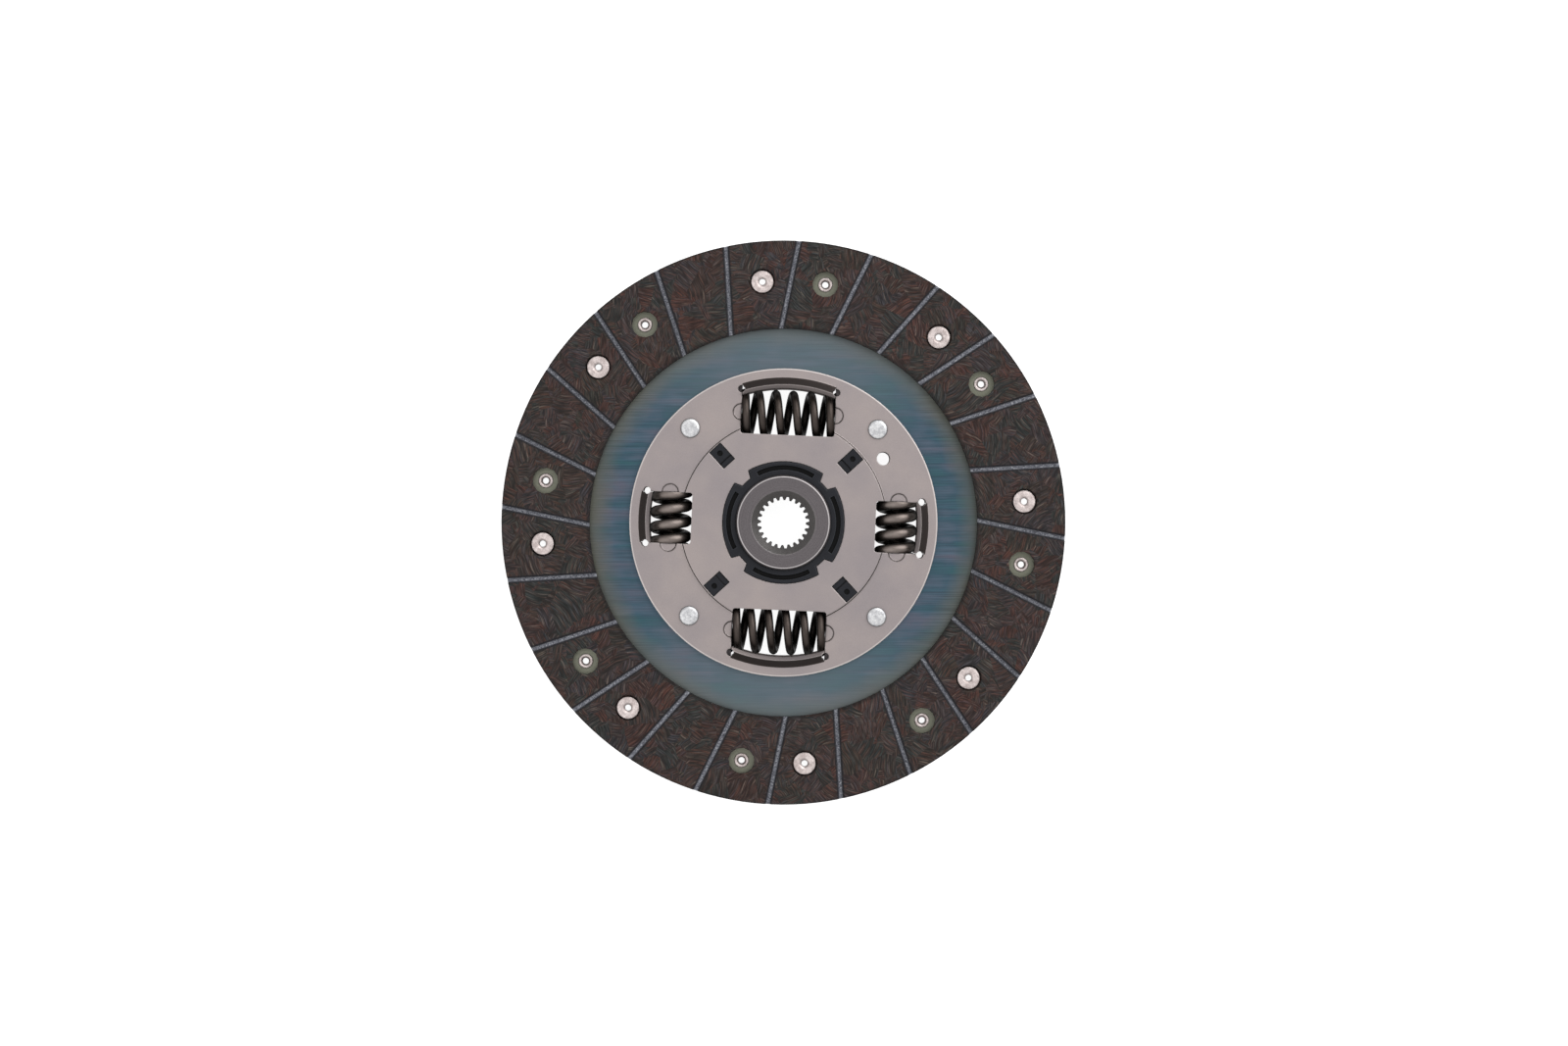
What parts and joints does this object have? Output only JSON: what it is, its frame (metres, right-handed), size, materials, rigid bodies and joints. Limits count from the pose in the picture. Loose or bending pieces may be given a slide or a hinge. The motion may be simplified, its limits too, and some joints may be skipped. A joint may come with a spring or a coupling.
{
  "type": "clutch disc",
  "caption": "Damped clutch friction disc with grooved riveted facings, waved cushion plate, coil spring damper and splined hub.",
  "frame": {"origin": "on the hub's axis, in the middle of the cushion plate's sheet, halfway between the two friction faces", "axes": "+Z along the hub's axis, towards the flywheel side; +Y towards the top main spring"},
  "size_m": [0.215, 0.215, 0.023],
  "materials": {
    "friction_lining": "matte woven friction material, ground flat",
    "blued_sheet": "tempered blue",
    "rivet_steel": "bright plated",
    "side_plate_steel": "satin phosphated",
    "pin_steel": "bright, marked by the heading tool",
    "black_nylon": "moulded, slightly glossy",
    "washer_steel": "plain",
    "spring_steel": "oil-tempered, dark and glossy",
    "hub_steel": "turned faces on dark forged steel"
  },
  "bodies": {
    "plate": {"front_facing": "friction_lining", "rear_facing": "friction_lining", "cushion_plate": "blued_sheet", "front_facing_rivets": "rivet_steel", "rear_facing_rivets": "rivet_steel", "front_side_plate": "side_plate_steel", "rear_side_plate": "side_plate_steel", "stop_pins": "pin_steel", "front_bush": "black_nylon", "rear_bush": "black_nylon", "front_friction_washer": "black_nylon", "rear_friction_washer": "black_nylon", "thrust_plate": "washer_steel", "cone_spring": "washer_steel", "main_spring_top": "spring_steel", "main_spring_bottom": "spring_steel", "side_spring_left": "spring_steel", "side_spring_right": "spring_steel"},
    "hub": {"hub": "hub_steel", "hub_flange": "hub_steel"}
  },
  "joints": [
    {"name": "hub_twist", "type": "hinge", "parent": "plate", "child": "hub", "pos_m": [0, 0, 0], "axis": [0, 0, 1], "range_deg": [-8, 8], "stiffness_Nm_per_rad": 165, "deforming": ["main_spring_top", "main_spring_bottom", "side_spring_left", "side_spring_right"]}
  ]
}
